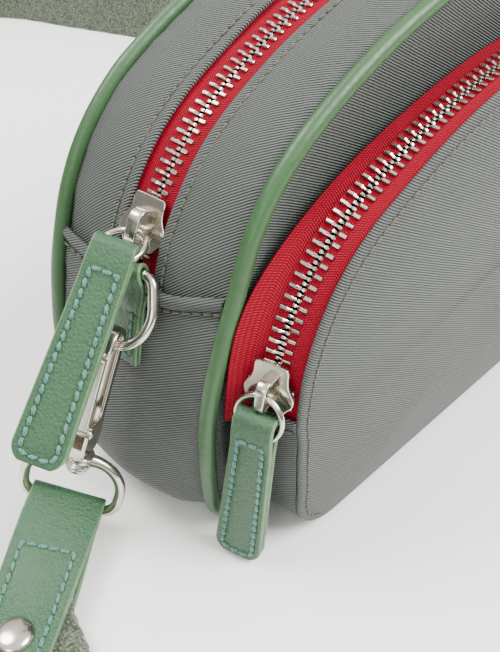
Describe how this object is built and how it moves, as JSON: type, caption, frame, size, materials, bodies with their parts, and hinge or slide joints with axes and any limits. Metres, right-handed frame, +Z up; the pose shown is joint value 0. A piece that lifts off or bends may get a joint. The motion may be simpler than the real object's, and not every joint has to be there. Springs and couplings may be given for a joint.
{
  "type": "crossbody purse",
  "caption": "Small soft crossbody purse with leather piping, a domed zipped body, a zipped front pocket and a webbing strap on snap hooks.",
  "frame": {"origin": "middle of the flat underside of the main compartment, on the floor", "axes": "+X along the bag, -Y towards the front pocket, +Z up"},
  "size_m": [0.5247, 0.4292, 0.1275],
  "materials": {
    "twill": "grey twill with a fine diagonal rib, soft sheen",
    "lining": "plain dark lining cloth, matt",
    "board": "stiff covered base sheet, matt",
    "leather": "sage leather, fine grain, satin",
    "tape": "crimson herringbone zip tape",
    "metal": "polished nickel-plated metal",
    "webbing": "coarse basket-weave webbing, matt"
  },
  "bodies": {
    "bag": {"rear_panel": "twill", "front_panel": "twill", "rear_piping": "leather", "front_piping": "leather", "lower_gusset": "twill", "upper_gusset_rear": "twill", "upper_gusset_front": "twill", "base_board": "board", "lining_rear": "lining", "lining_front": "lining", "lining_gusset": "lining", "slip_pocket": "lining", "main_tape_rear": "tape", "main_teeth_rear": "metal", "main_top_stop_rear": "metal", "main_tape_front": "tape", "main_teeth_front": "metal", "main_top_stop_front": "metal", "main_bottom_stop": "metal", "pocket_gusset": "twill", "pocket_panel": "twill", "pocket_tape_rear": "tape", "pocket_teeth_rear": "metal", "pocket_top_stop_rear": "metal", "pocket_tape_front": "tape", "pocket_teeth_front": "metal", "pocket_top_stop_front": "metal", "pocket_bottom_stop": "metal", "ring_tab_left": "leather", "ring_tab_right": "leather", "strap_webbing": "webbing", "strap_adjuster": "metal"},
    "main_slider_body": {"main_slider": "metal"},
    "main_ring_body": {"main_pull_ring": "metal"},
    "main_pull_body": {"main_pull_leather": "leather"},
    "pocket_slider_body": {"pocket_slider": "metal"},
    "pocket_ring_body": {"pocket_pull_ring": "metal"},
    "pocket_pull_body": {"pocket_pull_leather": "leather"},
    "d_ring_left_body": {"d_ring_left": "metal"},
    "hook_left_body": {"snap_hook_left": "metal"},
    "gate_left_body": {"hook_gate_left": "metal"},
    "bow_left_body": {"swivel_bow_left": "metal"},
    "strap_end_left_body": {"strap_end_left": "leather", "strap_stub_left": "webbing", "strap_rivet_left": "metal"},
    "d_ring_right_body": {"d_ring_right": "metal"},
    "hook_right_body": {"snap_hook_right": "metal"},
    "gate_right_body": {"hook_gate_right": "metal"},
    "bow_right_body": {"swivel_bow_right": "metal"},
    "strap_end_right_body": {"strap_end_right": "leather", "strap_stub_right": "webbing", "strap_rivet_right": "metal"}
  },
  "joints": [
    {"name": "main_slider_travel", "type": "hinge", "parent": "bag", "child": "main_slider_body", "pos_m": [-0.05066, 0, 0.05498], "axis": [0, 1, 0], "range_deg": [0, 34]},
    {"name": "main_ring_swing", "type": "hinge", "parent": "main_slider_body", "child": "main_ring_body", "pos_m": [-0.10617, 0, 0.07926], "axis": [-0.3827, 0.9225, -0.051], "range_deg": [-3, 30]},
    {"name": "main_pull_swing", "type": "hinge", "parent": "main_ring_body", "child": "main_pull_body", "pos_m": [-0.11661, -0.00462, 0.07787], "axis": [-0.496, 0.8253, 0.2701], "range_deg": [-3, 38]},
    {"name": "pocket_slider_travel", "type": "hinge", "parent": "bag", "child": "pocket_slider_body", "pos_m": [-0.05356, -0.0385, 0.04786], "axis": [0, 1, 0], "range_deg": [0, 50]},
    {"name": "pocket_ring_swing", "type": "hinge", "parent": "pocket_slider_body", "child": "pocket_ring_body", "pos_m": [-0.10452, -0.03982, 0.05293], "axis": [-0.2481, 0.9664, 0.0668], "range_deg": [-2, 60]},
    {"name": "pocket_pull_swing", "type": "hinge", "parent": "pocket_ring_body", "child": "pocket_pull_body", "pos_m": [-0.10751, -0.03982, 0.04182], "axis": [-0.3052, 0.9495, 0.0723], "range_deg": [-1, 7]},
    {"name": "d_ring_left_swing", "type": "hinge", "parent": "bag", "child": "d_ring_left_body", "pos_m": [-0.1115, -0.0008, 0.07001], "axis": [-0.4217, 0.8783, -0.2252], "range_deg": [0, 12]},
    {"name": "hook_left_swing", "type": "hinge", "parent": "d_ring_left_body", "child": "hook_left_body", "pos_m": [-0.1193, -0.00491, 0.05665], "axis": [-0.4019, 0.8858, 0.2319], "range_deg": [0, 34]},
    {"name": "gate_left_open", "type": "hinge", "parent": "hook_left_body", "child": "gate_left_body", "pos_m": [-0.13028, -0.00427, 0.03518], "axis": [-0.4019, 0.8858, 0.2319], "range_deg": [0, 14], "stiffness_Nm_per_rad": 0.02},
    {"name": "bow_left_swivel", "type": "hinge", "parent": "hook_left_body", "child": "bow_left_body", "pos_m": [-0.13054, -0.00149, 0.02411], "axis": [0.3188, -0.1021, 0.9423], "range_deg": [-40, 40]},
    {"name": "strap_end_left_swing", "type": "hinge", "parent": "bow_left_body", "child": "strap_end_left_body", "pos_m": [-0.1355, 0.0002, 0.0095], "axis": [-0.5754, 0.7692, 0.278], "range_deg": [-30, 30], "deforming": ["strap_webbing"]},
    {"name": "d_ring_right_swing", "type": "hinge", "parent": "bag", "child": "d_ring_right_body", "pos_m": [0.1115, -0.0008, 0.07001], "axis": [-0.4217, -0.8783, 0.2252], "range_deg": [0, 100]},
    {"name": "hook_right_swing", "type": "hinge", "parent": "d_ring_right_body", "child": "hook_right_body", "pos_m": [0.1193, -0.00491, 0.05665], "axis": [-0.4019, -0.8858, -0.2319], "range_deg": [0, 50]},
    {"name": "gate_right_open", "type": "hinge", "parent": "hook_right_body", "child": "gate_right_body", "pos_m": [0.13028, -0.00427, 0.03518], "axis": [-0.4019, -0.8858, -0.2319], "range_deg": [0, 14], "stiffness_Nm_per_rad": 0.02},
    {"name": "bow_right_swivel", "type": "hinge", "parent": "hook_right_body", "child": "bow_right_body", "pos_m": [0.13054, -0.00149, 0.02411], "axis": [-0.3188, -0.1021, 0.9423], "range_deg": [-40, 40]},
    {"name": "strap_end_right_swing", "type": "hinge", "parent": "bow_right_body", "child": "strap_end_right_body", "pos_m": [0.1355, 0.0002, 0.0095], "axis": [0.9334, -0.2064, 0.2934], "range_deg": [-30, 30], "deforming": ["strap_webbing"]}
  ]
}
